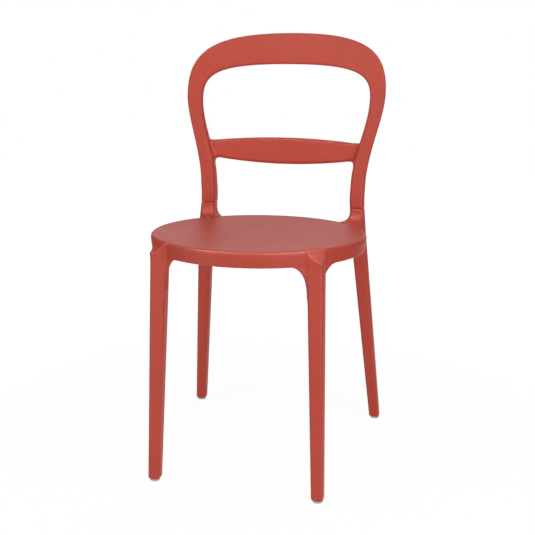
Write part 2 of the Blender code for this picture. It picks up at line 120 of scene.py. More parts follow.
# Backrest
HOOP_WIDEST = 0.2085
HOOP_WIDEST_HEIGHT = 0.2575
WINDOW_WIDEST_DROP = 0.012
HOOP_TOP_HEIGHT = 0.378
TOP_RAIL_WIDTH = 0.0632
SIDE_WIDTH = 0.0312
POST_LEAN_IN = 0.001
HOOP_THICKNESS = 0.014
HOOP_ROUND = 0.0055
LUMBAR_TOP_HEIGHT = 0.1585
LUMBAR_TOP_CROWN = 0.007
LUMBAR_WIDTH = 0.037
LUMBAR_BELLY = 0.011
LUMBAR_THICKNESS = 0.013
LUMBAR_RECESS = 0.005
LUMBAR_ROUND = 0.008
LUMBAR_EDGE_ROUND = 0.001
LUMBAR_FILLET_BELOW = 0.014
LUMBAR_FILLET_ABOVE = 0.003
BACK_CURVE = 0.5
BACK_LEAN = -0.032
BACK_BOW = 0.45

# Places that follow
APRON_BOTTOM = SEAT_HEIGHT - APRON_DEPTH
SEAM_HEIGHT = SEAT_HEIGHT + SOCKET_RISE
LEG_HEAD_HEIGHT = APRON_BOTTOM - 0.3 * LEG_TOP_WIDTH
FRONT_HEAD_TOP = SEAT_HEIGHT - 0.4 * SEAT_WALL
AXIS_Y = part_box("seat_frame")[0].y + SEAT_RADIUS
IMAGE_SIZE = 535

# Facet size of the two mouldings, points on each curve of the hoop, and how far its outline runs on down
FRAME_STEP = 0.002
HOOP_STEP = 0.0018
CURVE_POINTS = 40
OUTLINE_TAIL = 0.05

# Stands in for zero where a number divides
TINY = 1e-12

# Light levels, and the floor's own greys for light and for direct rays
FLOOR_GLOW = 0.93
WORLD_LIGHT = 0.27
FLOOR_GREY = 0.80
FLOOR_SHADOW_GREY = 0.12


def polar(radius, azimuth):
    """Point in plan at a radius from the seat's axis."""
    return np.array((radius * math.cos(azimuth), radius * math.sin(azimuth)))


FRONT_HEAD = polar(SEAT_RADIUS + FRONT_LEG_OFFSET, FRONT_LEG_AZIMUTH)
REAR_HEAD = polar(SEAT_RADIUS + REAR_LEG_OFFSET, REAR_LEG_AZIMUTH)
FRONT_FOOT = FRONT_HEAD + np.array(FRONT_FOOT_SPLAY)
REAR_FOOT = REAR_HEAD + np.array(REAR_FOOT_SPLAY)
SEAM = REAR_HEAD + np.array(SOCKET_TILT)


# Arithmetic of distance fields

def join(a, b, fillet):
    """Union of two solids with a fillet between them."""
    near = np.maximum(fillet - np.abs(a - b), 0.0) / fillet
    return np.minimum(a, b) - near * near * fillet / 4


def keep(a, b, rounding):
    """Part that two solids share, with its edge rounded."""
    return -join(-a, -b, rounding)


def cut(a, b, rounding):
    """Solid a less solid b."""
    return keep(a, -b, rounding)


def ease(share):
    """Smooth step from 0 to 1."""
    share = np.clip(share, 0.0, 1.0)
    return share * share * (3 - 2 * share)


def blend(start, end, share):
    """Value part of the way from start to end."""
    return start + (end - start) * share


def rounded_box(u, v, half_u, half_v, corner):
    """Distance to a rounded rectangle in two directions."""
    over_u = np.abs(u) - half_u + corner
    over_v = np.abs(v) - half_v + corner
    outside = np.hypot(np.maximum(over_u, 0.0), np.maximum(over_v, 0.0))
    return outside + np.minimum(np.maximum(over_u, over_v), 0.0) - corner


def along_and_across(x, y, centre, azimuth):
    """Radial and tangential distance in plan from a point, for a radial azimuth."""
    u = (x - centre[0]) * math.cos(azimuth) + (y - centre[1]) * math.sin(azimuth)
    v = -(x - centre[0]) * math.sin(azimuth) + (y - centre[1]) * math.cos(azimuth)
    return u, v


# Surface of a field

def near_surface(distance, low, step, counts):
    """Grid of distances, worked out only where a coarse grid says that the surface is near."""
    coarse = 4
    reach = coarse * step
    near = 1.6 * reach
    coarse_counts = [count // coarse + 2 for count in counts]
    places = [low[k] + reach * np.arange(coarse_counts[k]) for k in range(3)]
    x, y, z = np.meshgrid(*places, indexing="ij")
    rough = distance(x.ravel(), y.ravel(), z.ravel()).reshape(coarse_counts)
    picks = []
    for count, last in zip(counts, coarse_counts):
        nearest = (np.arange(count) + coarse // 2) // coarse
        picks.append(np.minimum(nearest, last - 1))
    grid = rough[np.ix_(*picks)].astype(np.float32)
    close = np.abs(grid) < near
    i, j, k = np.nonzero(close)
    grid[close] = distance(low[0] + step * i, low[1] + step * j, low[2] + step * k)
    return grid


CORNERS = [(a, b, c) for a in (0, 1) for b in (0, 1) for c in (0, 1)]


def crossing_cells(inside):
    """Cells of a grid with corners both inside and outside."""
    count = np.zeros(np.array(inside.shape) - 1, np.int8)
    for corner in CORNERS:
        window = tuple(slice(start, start + size) for start, size in zip(corner, count.shape))
        count += inside[window]
    return (count > 0) & (count < len(CORNERS))


def cell_points(grid, cells):
    """Mean of the edge crossings in each cell, in steps of the grid."""
    total = np.zeros((len(cells), 3))
    count = np.zeros(len(cells))
    for start in CORNERS:
        for axis in range(3):
            if start[axis]:
                continue
            end = list(start)
            end[axis] = 1
            a = grid[tuple((cells + start).T)]
            b = grid[tuple((cells + end).T)]
            crosses = (a < 0) != (b < 0)
            share = np.where(crosses, a / np.where(crosses, a - b, 1.0), 0.0)
            point = np.array(start, float) + np.zeros_like(total)
            point[:, axis] = share
            total += point * crosses[:, None]
            count += crosses
    return cells + total / count[:, None]


def cell_faces(inside, index):
    """Four-sided faces between cells, one for each grid edge that the surface crosses."""
    faces = []
    for axis in range(3):
        first, second = (axis + 1) % 3, (axis + 2) % 3
        lower = [slice(1, -1)] * 3
        upper = [slice(1, -1)] * 3
        lower[axis] = slice(0, -1)
        upper[axis] = slice(1, None)
        a = inside[tuple(lower)]
        b = inside[tuple(upper)]
        offset = np.array([1, 1, 1])
        offset[axis] = 0
        for starts, turn in ((a & ~b, 1), (b & ~a, -1)):
            node = np.argwhere(starts) + offset
            ring = []
            for back_first, back_second in ((0, 0), (1, 0), (1, 1), (0, 1)):
                cell = node.copy()
                cell[:, first] -= back_first
                cell[:, second] -= back_second
                ring.append(index[tuple(cell.T)])
            faces.append(np.stack(ring[::turn], axis=1))
    return np.concatenate(faces)


def gradient(distance, points, small):
    """Direction in which the field grows fastest, at each point."""
    slopes = []
    for axis in range(3):
        shift = np.zeros(3)
        shift[axis] = small
        ahead = distance(*(points + shift).T)
        behind = distance(*(points - shift).T)
        slopes.append((ahead - behind) / (2 * small))
    return np.stack(slopes, axis=1)


def surface_of(name, distance, low, high, step):
    """Mesh object on a field's surface, with its points moved onto it along the slope, in rounds."""
    rounds = 4
    small = step / 8
    least_size = 0.2
    low = np.array(low) - 3 * step
    counts = [int(math.ceil((high[k] - low[k]) / step)) + 4 for k in range(3)]
    grid = near_surface(distance, low, step, counts)
    inside = grid < 0
    cells = np.argwhere(crossing_cells(inside))
    index = np.full(np.array(counts) - 1, -1, np.int64)
    index[tuple(cells.T)] = np.arange(len(cells))
    faces = cell_faces(inside, index)
    points = low + step * cell_points(grid, cells)
    for _ in range(rounds):
        slope = gradient(distance, points, small)
        size = np.maximum((slope ** 2).sum(axis=1), least_size)
        move = distance(*points.T)[:, None] * slope / size[:, None]
        points = points - np.clip(move, -step / 2, step / 2)
    normals = gradient(distance, points, small)
    normals /= np.maximum(np.linalg.norm(normals, axis=1), TINY)[:, None]
    points[:, 1] += AXIS_Y
    return mesh_object(name, points, faces, normals)


def mesh_object(name, points, faces, normals):
    """Smooth object from points and four-sided faces."""
    mesh = bpy.data.meshes.new(name)
    mesh.from_pydata(points.tolist(), [], faces.tolist())
    mesh.update()
    mesh.shade_smooth()
    mesh.normals_split_custom_set_from_vertices(normals.tolist())
    item = bpy.data.objects.new(name, mesh)
    bpy.context.scene.collection.objects.link(item)
    return item


# Seat, legs and sockets

def seat_top(radius):
    """Height of the dished seat at a radius."""
    flat_edge = SEAT_RADIUS - RIM_ROUND
    share = np.minimum(radius / flat_edge, 1.0)
    return SEAT_HEIGHT - SEAT_DISH * (1 - share ** 2)


def apron_edge(around, z):
    """Distance below the apron's lower edge, which sweeps down in an ellipse beside a front leg."""
    edge_around = ARCH_START_SHARE * LEG_TOP_WIDTH + ARCH_WIDTH
    edge_height = APRON_BOTTOM - ARCH_HEIGHT
    reach = np.maximum(edge_around - around, 0.0) / ARCH_WIDTH
    rise = np.maximum(z - edge_height, 0.0) / ARCH_HEIGHT
    size = np.maximum(np.hypot(reach, rise), 1e-4)
    steepness = np.maximum(np.hypot(reach / ARCH_WIDTH, rise / ARCH_HEIGHT) / size, 1e-3)
    web = np.maximum((1 - size) / steepness, edge_height - z)
    return np.minimum(APRON_BOTTOM - z, web)


def seat_field(around, radius, z):
    """Dished disc with its round rim, apron and hollow."""
    draft = APRON_DRAFT * np.clip((SEAT_HEIGHT - z) / APRON_DEPTH, 0.0, 1.0)
    outer = keep(radius - SEAT_RADIUS + draft, z - seat_top(radius), RIM_BLEND)
    outer = keep(outer, apron_edge(around, z), APRON_EDGE_ROUND)
    inner_foot = SEAT_RADIUS - APRON_DRAFT - APRON_WALL
    ceiling = seat_top(radius * (SEAT_RADIUS - RIM_ROUND) / inner_foot) - SEAT_WALL
    hollow = keep(radius - inner_foot, z - ceiling, HOLLOW_ROUND)
    return cut(outer, hollow, HOLLOW_EDGE_ROUND)


def leg_field(x, y, z, head, foot, top_width):
    """Tapered leg with a rounded square section that lies along the chair's sides."""
    share = np.clip(z / LEG_HEAD_HEIGHT, 0.0, 1.0)
    half = blend(LEG_FOOT_WIDTH, top_width, share) / 2
    across = x - blend(foot[0], head[0], share)
    along = y - blend(foot[1], head[1], share)
    side = rounded_box(across, along, half, half, LEG_ROUND_SHARE * half)
    return keep(side, LEG_BOTTOM - z, LEG_BOTTOM_ROUND)


def head_slope(radius):
    """Height of the hollow slope from the rim down to the front leg's ridge."""
    share = np.clip((radius - SEAT_RADIUS + HEAD_SLOPE_START) / HEAD_SLOPE_REACH, 0.0, 1.0)
    return FRONT_HEAD_TOP - HEAD_SLOPE_DROP * share - HEAD_SLOPE_HOLLOW * 4 * share * (1 - share)


def front_leg_field(x, y, z, radius):
    """Front leg with its sloped head."""
    flare = LEG_FLARE * ease((z - LEG_HEAD_HEIGHT) / (FRONT_HEAD_TOP - LEG_HEAD_HEIGHT))
    leg = leg_field(x, y, z, FRONT_HEAD, FRONT_FOOT, LEG_TOP_WIDTH + flare)
    steepness = math.hypot(1.0, HEAD_SLOPE_DROP / HEAD_SLOPE_REACH)
    return keep(leg, (z - head_slope(radius)) / steepness, HEAD_SLOPE_ROUND)


def socket_axis(z):
    """Middle of the socket in plan at a height."""
    share = (z - LEG_HEAD_HEIGHT) / (SEAM_HEIGHT - LEG_HEAD_HEIGHT)
    return blend(REAR_HEAD[0], SEAM[0], share), blend(REAR_HEAD[1], SEAM[1], share)


def about_tenon(x, y, z):
    """Distances outwards from and beside the middle of the tenon, which leans with the socket."""
    return along_and_across(x, y, socket_axis(z), REAR_LEG_AZIMUTH)


def about_screw(x, y, z):
    """Distance outwards along the screw from the middle of the tenon, and distance from its axis."""
    height = SEAT_HEIGHT - SCREW_DROP
    out, aside = along_and_across(x, y, socket_axis(height), REAR_LEG_AZIMUTH)
    return out, np.hypot(aside, z - height)


def post_section(across, along):
    """Rounded section that socket and post share at the seam."""
    return keep(np.abs(across) - POST_WIDTH / 2, np.abs(along) - POST_DEPTH / 2, POST_ROUND)


def shoulder_reach(z):
    """How far the shoulder reaches in towards the seat at a height, and how fast that falls."""
    climb = np.clip((z - SEAT_HEIGHT) / SHOULDER_RISE, 0.0, 1.0)
    arc = np.sqrt(1 - (1 - climb) ** 2)
    levels = (LEG_HEAD_HEIGHT, APRON_BOTTOM, blend(APRON_BOTTOM, SEAT_HEIGHT, 0.5))
    shares = (0.0, 0.8, 1.0)
    reach = SHOULDER_REACH * np.minimum(np.interp(z, levels, shares), 1 - arc)
    fall = SHOULDER_REACH / SHOULDER_RISE * (1 - climb) / np.maximum(arc, SHOULDER_STEEPEST)
    return reach, np.where(z > SEAT_HEIGHT, fall, 0.0)


def rear_leg_field(x, y, z):
    """Rear leg, the shoulder that reaches in to the seat with a hollow curve, and the socket above."""
    leg = leg_field(x, y, z, REAR_HEAD, REAR_FOOT, LEG_TOP_WIDTH)
    leg = keep(leg, z - LEG_HEAD_HEIGHT, LEG_HEAD_ROUND)
    centre_x, centre_y = socket_axis(z)
    out, _ = about_tenon(x, y, z)
    reach, fall = shoulder_reach(z)
    slide = np.clip(-out, 0.0, reach)
    share = ease(2 * (z - LEG_HEAD_HEIGHT) / (SEAM_HEIGHT - LEG_HEAD_HEIGHT))
    across = x - centre_x + slide * math.cos(REAR_LEG_AZIMUTH)
    along = y - centre_y + slide * math.sin(REAR_LEG_AZIMUTH) + 2 * BACK_CURVE * SEAM[0] * across * share
    half = LEG_TOP_WIDTH / 2
    square = rounded_box(across, along, half, half, LEG_ROUND_SHARE * half)
    column = blend(square, post_section(across, along), share)
    at_tip = ease((-out - reach) / SHOULDER_TIP + 1)
    column = np.maximum(column / np.hypot(1.0, fall * at_tip), LEG_HEAD_HEIGHT - z)
    return keep(np.minimum(leg, column), z - SEAM_HEIGHT, SEAM_ROUND)


def frame_holes(x, y, z):
    """Mortise, screw hole, well and stem bores, as one solid to take away."""
    out, aside = about_tenon(x, y, z)
    margin = 2 * CLEARANCE
    mortise = rounded_box(out, aside, TENON_DEPTH / 2 + margin, TENON_WIDTH / 2 + margin, TENON_ROUND)
    mortise = np.maximum(mortise, SEAM_HEIGHT - TENON_LENGTH - margin - z)
    out, away = about_screw(x, y, z)
    well_end = -(TENON_DEPTH / 2 + CLEARANCE + SCREW_WALL)
    well = np.maximum(away - WELL_RADIUS, np.maximum(out - well_end, well_end - WELL_LENGTH - out))
    hole = np.maximum(away - HOLE_RADIUS, np.maximum(out, well_end - HOLE_OVERLAP - out))
    holes = np.minimum(mortise, np.minimum(well, hole))
    for foot in (FRONT_FOOT, REAR_FOOT):
        bore = np.hypot(x - foot[0], y - foot[1]) - STEM_BORE
        holes = np.minimum(holes, np.maximum(bore, z - LEG_BOTTOM - STEM_LENGTH - CLEARANCE))
    return holes


def frame_field(x, y, z):
    """The whole seat moulding. It is the same on both sides."""
    x = np.abs(x)
    radius = np.hypot(x, y)
    around = SEAT_RADIUS * np.abs(np.arctan2(y, x) - FRONT_LEG_AZIMUTH)
    seat = seat_field(around, radius, z)
    body = join(seat, front_leg_field(x, y, z, radius), FRONT_LEG_FILLET)
    body = join(body, rear_leg_field(x, y, z), REAR_LEG_FILLET)
    return cut(body, frame_holes(x, y, z), HOLE_EDGE_ROUND)


# Backrest

def back_y(x, rise):
    """Middle surface of the backrest: y at a place across and a height above the seam."""
    start = SEAM[1] + BACK_CURVE * SEAM[0] ** 2
    return start + BACK_LEAN * rise + BACK_BOW * rise ** 2 - BACK_CURVE * x ** 2


def bezier(points, share):
    """Points of a cubic curve in the front view."""
    a, b, c, d = (np.array(point) for point in points)
    share = share[:, None]
    rest = 1 - share
    return a * rest ** 3 + 3 * b * rest ** 2 * share + 3 * c * rest * share ** 2 + d * share ** 3


HOOP_WIDEST_LEVEL = SEAT_HEIGHT + HOOP_WIDEST_HEIGHT
HOOP_TOP_LEVEL = SEAT_HEIGHT + HOOP_TOP_HEIGHT


def hoop_half(post, side, widest, top, handles):
    """Right half of one outline in the front view: up the post, out to the widest place, over the top.

    The handles say how far each curve holds its direction: up from the neck, down from the widest
    place, up from it, and across at the top, as shares of a height or of the side.
    """
    seam = SEAM_HEIGHT + CLEARANCE
    neck = blend(seam, SEAT_HEIGHT + LUMBAR_TOP_HEIGHT, 0.3)
    climb = HOOP_WIDEST_LEVEL - neck
    lean = post - POST_LEAN_IN
    from_neck, to_widest, from_widest, to_top = handles
    return (
        ((post, seam), (lean, blend(seam, neck, 0.4)), (lean, blend(seam, neck, 0.7)), (post, neck)),
        ((post, neck), (post, neck + from_neck * climb),
         (side, widest - to_widest * climb), (side, widest)),
        ((side, widest), (side, widest + from_widest * (top - widest)),
         (to_top * side, top), (0.0, top)))


OUTER_HALF = hoop_half(SEAM[0] + POST_WIDTH / 2, HOOP_WIDEST, HOOP_WIDEST_LEVEL, HOOP_TOP_LEVEL,
                       (0.38, 0.28, 0.70, 0.78))
INNER_HALF = hoop_half(SEAM[0] - POST_WIDTH / 2, HOOP_WIDEST - SIDE_WIDTH,
                       HOOP_WIDEST_LEVEL - WINDOW_WIDEST_DROP, HOOP_TOP_LEVEL - TOP_RAIL_WIDTH,
                       (0.36, 0.30, 0.68, 0.87))


def outline_points(curves):
    """Whole outline from its right half, from the right seam over the top to the left seam."""
    shares = np.linspace(0.0, 1.0, CURVE_POINTS)
    stretches = [bezier(curve, shares)[:-1] for curve in curves]
    top = np.array([curves[-1][-1]])
    right = np.concatenate(stretches + [top])
    tail = right[0] - np.array([0.0, OUTLINE_TAIL])
    right = np.concatenate([[tail], right])
    left = right[-2::-1] * np.array([-1.0, 1.0])
    return np.concatenate([right, left])


def outline_distance(outline, x, z):
    """Distance to an outline in the front view, negative inside the loop."""
    best = np.full(x.shape, 1e9)
    crossings = np.zeros(x.shape, np.int64)
    for (ax, az), (bx, bz) in zip(outline, np.roll(outline, -1, axis=0)):
        dx, dz = bx - ax, bz - az
        share = np.clip(((x - ax) * dx + (z - az) * dz) / max(dx * dx + dz * dz, TINY), 0.0, 1.0)
        best = np.minimum(best, (x - ax - share * dx) ** 2 + (z - az - share * dz) ** 2)
        spans = (az > z) != (bz > z)
        if abs(dz) > TINY:
            crossings += spans & (x < ax + (z - az) * dx / dz)
    return np.where(crossings % 2 == 1, -1.0, 1.0) * np.sqrt(best)


class OutlineMap:
    """Distances to an outline, held on a fine grid and read between its points.

    Places beyond the grid read its border, just inside the last point.
    """

    step = 0.001
    low_x = -0.03
    low_z = SEAM_HEIGHT - 0.06
    count_x = 290
    count_z = 460
    end_gap = 1.001

    def __init__(self, curves):
        across = self.low_x + self.step * np.arange(self.count_x)
        up = self.low_z + self.step * np.arange(self.count_z)
        x, z = np.meshgrid(across, up, indexing="ij")
        self.table = outline_distance(outline_points(curves), x, z)

    def distance(self, x, z):
        """Distance at places across and up."""
        u = np.clip((x - self.low_x) / self.step, 0, self.count_x - self.end_gap)
        v = np.clip((z - self.low_z) / self.step, 0, self.count_z - self.end_gap)
        i, j = u.astype(int), v.astype(int)
        u, v = u - i, v - j
        table = self.table
        lower = blend(table[i, j], table[i + 1, j], u)
        upper = blend(table[i, j + 1], table[i + 1, j + 1], u)
        return blend(lower, upper, v)


OUTER_MAP = OutlineMap(OUTER_HALF)
INNER_MAP = OutlineMap(INNER_HALF)


def lumbar_field(x, depth, z):
    """Lumbar rail, a bowed band set back from the hoop's sides."""
    share = np.minimum(x / (SEAM[0] - POST_WIDTH / 2), 1.0)
    bow = 1 - share ** 2
    top_end = SEAT_HEIGHT + LUMBAR_TOP_HEIGHT
    top = top_end + LUMBAR_TOP_CROWN * bow
    bottom = top_end - LUMBAR_WIDTH - LUMBAR_BELLY * bow
    tall = keep(z - top, bottom - z, LUMBAR_EDGE_ROUND)
    thick = np.abs(depth - LUMBAR_RECESS) - LUMBAR_THICKNESS / 2
    return np.maximum(keep(tall, thick, LUMBAR_ROUND), x - SEAM[0])


def hoop_field(x, y, z):
    """The whole backrest moulding. It is the same on both sides."""
    x = np.abs(x)
    rise = z - SEAM_HEIGHT
    slope = BACK_LEAN + 2 * BACK_BOW * rise
    depth = (y - back_y(x, rise)) / np.sqrt(1 + slope ** 2 + (2 * BACK_CURVE * x) ** 2)
    slim = ease(rise / HOOP_WIDEST_HEIGHT)
    thickness = blend(POST_DEPTH, HOOP_THICKNESS, slim)
    face = np.abs(depth) - thickness / 2
    rounding = blend(POST_ROUND, HOOP_ROUND, slim)
    hoop = keep(keep(OUTER_MAP.distance(x, z), face, rounding), -INNER_MAP.distance(x, z), rounding)
    hoop = keep(hoop, SEAM_HEIGHT + CLEARANCE - z, SEAM_ROUND)
    middle = SEAT_HEIGHT + LUMBAR_TOP_HEIGHT - LUMBAR_WIDTH / 2
    climb = ease((z - middle) / LUMBAR_WIDTH + 0.5)
    fillet = blend(LUMBAR_FILLET_BELOW, LUMBAR_FILLET_ABOVE, climb)
    body = join(hoop, lumbar_field(x, depth, z), fillet)
    out, aside = about_tenon(x, y, z)
    tenon = rounded_box(out, aside, TENON_DEPTH / 2, TENON_WIDTH / 2, TENON_ROUND)
    ends = np.maximum(SEAM_HEIGHT - TENON_LENGTH - z, z - SEAM_HEIGHT - TENON_OVERLAP)
    tenon = np.maximum(tenon, ends)
    body = np.minimum(body, tenon)
    out, away = about_screw(x, y, z)
    bore = np.maximum(away - INSERT_BORE, out + TENON_DEPTH / 2 - INSERT_LENGTH - CLEARANCE)
    return cut(body, bore, INSERT_EDGE_ROUND)


def build_mouldings(plastic):
    """The two visible mouldings, in place of their plain solids."""
    fields = {"seat_frame": (frame_field, FRAME_STEP), "backrest_hoop": (hoop_field, HOOP_STEP)}
    to_axis = Vector((0.0, -AXIS_Y, 0.0))
    for name, (field, step) in fields.items():
        low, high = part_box(name)
        low = Vector(low) + to_axis
        high = Vector(high) + to_axis
        piece = surface_of(name + "_moulding", field, low, high, step)
        piece.data.materials.append(plastic)
        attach(piece, "root")
        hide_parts(name)


# Materials

class Nodes:
    """Short calls for building one node material."""

    def __init__(self, name):
        self.material = bpy.data.materials.new(name)
        self.material.use_nodes = True
        self.tree = self.material.node_tree
        self.shader = self.tree.nodes["Principled BSDF"]
        coordinates = self.tree.nodes.new("ShaderNodeTexCoord")
        self.place = coordinates.outputs["Object"]

    def add(self, kind, **inputs):
        """New node with some inputs set to values or linked to sockets."""
        node = self.tree.nodes.new(kind)
        for name, value in inputs.items():
            socket = node.inputs[name.replace("_", " ")]
            if isinstance(value, bpy.types.NodeSocket):
                self.tree.links.new(value, socket)
            else:
                socket.default_value = value
        return node

    def noise(self, size, detail, roughness=0.5):
        """Noise with bumps about a size apart, in metres. Its values lie around 0.5."""
        node = self.add("ShaderNodeTexNoise", Vector=self.place, Scale=1 / size,
                        Detail=detail, Roughness=roughness)
        return node.outputs["Fac"]

    def spread(self, value, low, high, out_low, out_high):
        """Map one range of a value to another."""
        node = self.tree.nodes.new("ShaderNodeMapRange")
        node.interpolation_type = "SMOOTHSTEP"
        self.tree.links.new(value, node.inputs["Value"])
        node.inputs["From Min"].default_value = low
        node.inputs["From Max"].default_value = high
        node.inputs["To Min"].default_value = out_low
        node.inputs["To Max"].default_value = out_high
        return node.outputs["Result"]

    def mix(self, share, first, second):
        """Mix of two colours by a share."""
        node = self.tree.nodes.new("ShaderNodeMix")
        node.data_type = "RGBA"
        self.tree.links.new(share, node.inputs["Factor"])
        for socket, colour in ((node.inputs[6], first), (node.inputs[7], second)):
            if isinstance(colour, bpy.types.NodeSocket):
                self.tree.links.new(colour, socket)
            else:
                socket.default_value = (*colour, 1.0)
        return node.outputs[2]

    def total(self, first, second, operation="ADD"):
        """Sum, or another operation, of two values."""
        node = self.tree.nodes.new("ShaderNodeMath")
        node.operation = operation
        for socket, value in zip(node.inputs, (first, second)):
            if isinstance(value, bpy.types.NodeSocket):
                self.tree.links.new(value, socket)
            else:
                socket.default_value = value
        return node.outputs[0]

    def bump(self, height, distance, strength, below=None):
        """Bump of a height map, with its full height in metres."""
        node = self.add("ShaderNodeBump", Height=height, Distance=distance, Strength=strength)
        if below:
            self.tree.links.new(below, node.inputs["Normal"])
        return node.outputs["Normal"]

    def link(self, name, socket):
        """Link a socket to the shader."""
        self.tree.links.new(socket, self.shader.inputs[name])


def moulded_plastic():
    """Satin terracotta-red polypropylene with a fine spark-eroded grain and slightly polished edges,
    whose colour carries a painted highlight.
    """
    nodes = Nodes("red_polypropylene")
    deep, light = (0.515, 0.053, 0.027), (0.545, 0.060, 0.032)
    # The second colour here is a painted highlight, a lighter and paler red for convex edges.
    mottled, edge_highlight_tint = (0.47, 0.046, 0.024), (0.56, 0.070, 0.040)
    cloud = nodes.noise(0.16, 2.0)
    mottle = nodes.noise(0.012, 3.0)
    colour = nodes.mix(nodes.spread(cloud, 0.3, 0.7, 0.0, 1.0), deep, light)
    speck = nodes.spread(mottle, 0.35, 0.75, 0.0, 0.35)
    colour = nodes.mix(speck, colour, mottled)
    geometry = nodes.tree.nodes.new("ShaderNodeNewGeometry")
    edge = nodes.spread(geometry.outputs["Pointiness"], 0.515, 0.56, 0.0, 1.0)
    # Painted highlight: convex edges are mixed towards the lighter, paler red.
    colour = nodes.mix(nodes.total(edge, 0.4, "MULTIPLY"), colour, edge_highlight_tint)
    nodes.link("Base Color", colour)
    handled = nodes.spread(nodes.noise(0.045, 3.0), 0.35, 0.7, -0.015, 0.02)
    rough = nodes.total(nodes.spread(nodes.noise(0.0022, 2.0), 0.3, 0.7, 0.46, 0.54), handled)
    rough = nodes.total(rough, nodes.total(edge, 0.28, "MULTIPLY"), "SUBTRACT")
    nodes.link("Roughness", rough)
    worn = nodes.spread(edge, 0.0, 1.0, 1.0, 0.15)
    grain = nodes.total(nodes.noise(0.0007, 2.0, 0.6), worn, "MULTIPLY")
    flow = nodes.noise(0.035, 1.0)
    normal = nodes.bump(flow, 0.0006, 0.1)
    normal = nodes.bump(grain, 0.00006, 0.5, normal)
    nodes.link("Normal", normal)
    nodes.shader.inputs["IOR"].default_value = 1.49
    nodes.shader.inputs["Specular IOR Level"].default_value = 0.47
    return nodes.material


def glide_plastic():
    """Pale grey polyethylene, scuffed by floors."""
    nodes = Nodes("grey_polyethylene")
    clean, dirty = (0.60, 0.60, 0.58), (0.40, 0.39, 0.37)
    scuff = nodes.noise(0.0016, 4.0, 0.65)
    dirt = nodes.spread(scuff, 0.50, 0.72, 0.0, 0.6)
    colour = nodes.mix(dirt, clean, dirty)
    nodes.link("Base Color", colour)
    nodes.link("Roughness", nodes.spread(scuff, 0.3, 0.7, 0.42, 0.62))
    nodes.link("Normal", nodes.bump(nodes.noise(0.0008, 3.0), 0.0001, 0.6))
    return nodes.material


def zinc_steel():
    """Zinc-plated steel with a fine tooth and a mottled bloom."""
    nodes = Nodes("zinc_plated_steel")
    bright, dull = (0.66, 0.67, 0.70), (0.50, 0.51, 0.53)
    bloom = nodes.noise(0.0025, 3.0)
    colour = nodes.mix(nodes.spread(bloom, 0.35, 0.7, 0.0, 1.0), bright, dull)
    nodes.link("Base Color", colour)
    nodes.link("Roughness", nodes.spread(bloom, 0.3, 0.7, 0.24, 0.42))
    nodes.link("Normal", nodes.bump(nodes.noise(0.0003, 2.0), 0.00003, 0.6))
    nodes.shader.inputs["Metallic"].default_value = 1.0
    return nodes.material


def turned_brass():
    """Turned brass, a little tarnished."""
    nodes = Nodes("turned_brass")
    bright, brown = (0.76, 0.55, 0.24), (0.48, 0.33, 0.13)
    tarnish = nodes.noise(0.002, 3.0)
    colour = nodes.mix(nodes.spread(tarnish, 0.4, 0.75, 0.0, 1.0), bright, brown)
    nodes.link("Base Color", colour)
    nodes.link("Roughness", nodes.spread(tarnish, 0.3, 0.7, 0.26, 0.46))
    nodes.link("Normal", nodes.bump(nodes.noise(0.0003, 2.0), 0.00003, 0.6))
    nodes.shader.inputs["Metallic"].default_value = 1.0
    return nodes.material


def dress_nodes():
    """Give the carried-over solids their materials."""
    finishes = {"glide": glide_plastic(), "screw": zinc_steel(), "insert": turned_brass()}
    finishes["washer"] = finishes["screw"]
    for name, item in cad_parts.items():
        finish = finishes.get(name.split("_")[0])
        if finish:
            for place in item.material_slots:
                place.material = finish


# Floor, light and camera

def white_switch(tree):
    """Socket that is 1 for rays that see the surroundings directly, in gloss or through glass."""
    rays = tree.nodes.new("ShaderNodeLightPath")
    seen = rays.outputs["Is Camera Ray"]
    for name in ("Is Glossy Ray", "Is Transmission Ray"):
        larger = tree.nodes.new("ShaderNodeMath")
        larger.operation = "MAXIMUM"
        tree.links.new(seen, larger.inputs[0])
        tree.links.new(rays.outputs[name], larger.inputs[1])
        seen = larger.outputs[0]
    return seen


def distance_glow(tree, near, far):
    """Strength that grows from near the chair outwards, so that the floor ends in plain white."""
    place = tree.nodes.new("ShaderNodeTexCoord")
    length = tree.nodes.new("ShaderNodeVectorMath")
    length.operation = "LENGTH"
    tree.links.new(place.outputs["Object"], length.inputs[0])
    spread = tree.nodes.new("ShaderNodeMapRange")
    spread.interpolation_type = "SMOOTHSTEP"
    tree.links.new(length.outputs["Value"], spread.inputs["Value"])
    spread.inputs["From Min"].default_value = near
    spread.inputs["From Max"].default_value = far
    spread.inputs["To Min"].default_value = FLOOR_GLOW
    spread.inputs["To Max"].default_value = 1.0
    return spread.outputs["Result"]


def flat_card(name, corners, material):
    """Flat four-sided object."""
    mesh = bpy.data.meshes.new(name)
    mesh.from_pydata(corners, [], [(0, 1, 2, 3)])
    mesh.materials.append(material)
    item = bpy.data.objects.new(name, mesh)
    bpy.context.scene.collection.objects.link(item)
    return item


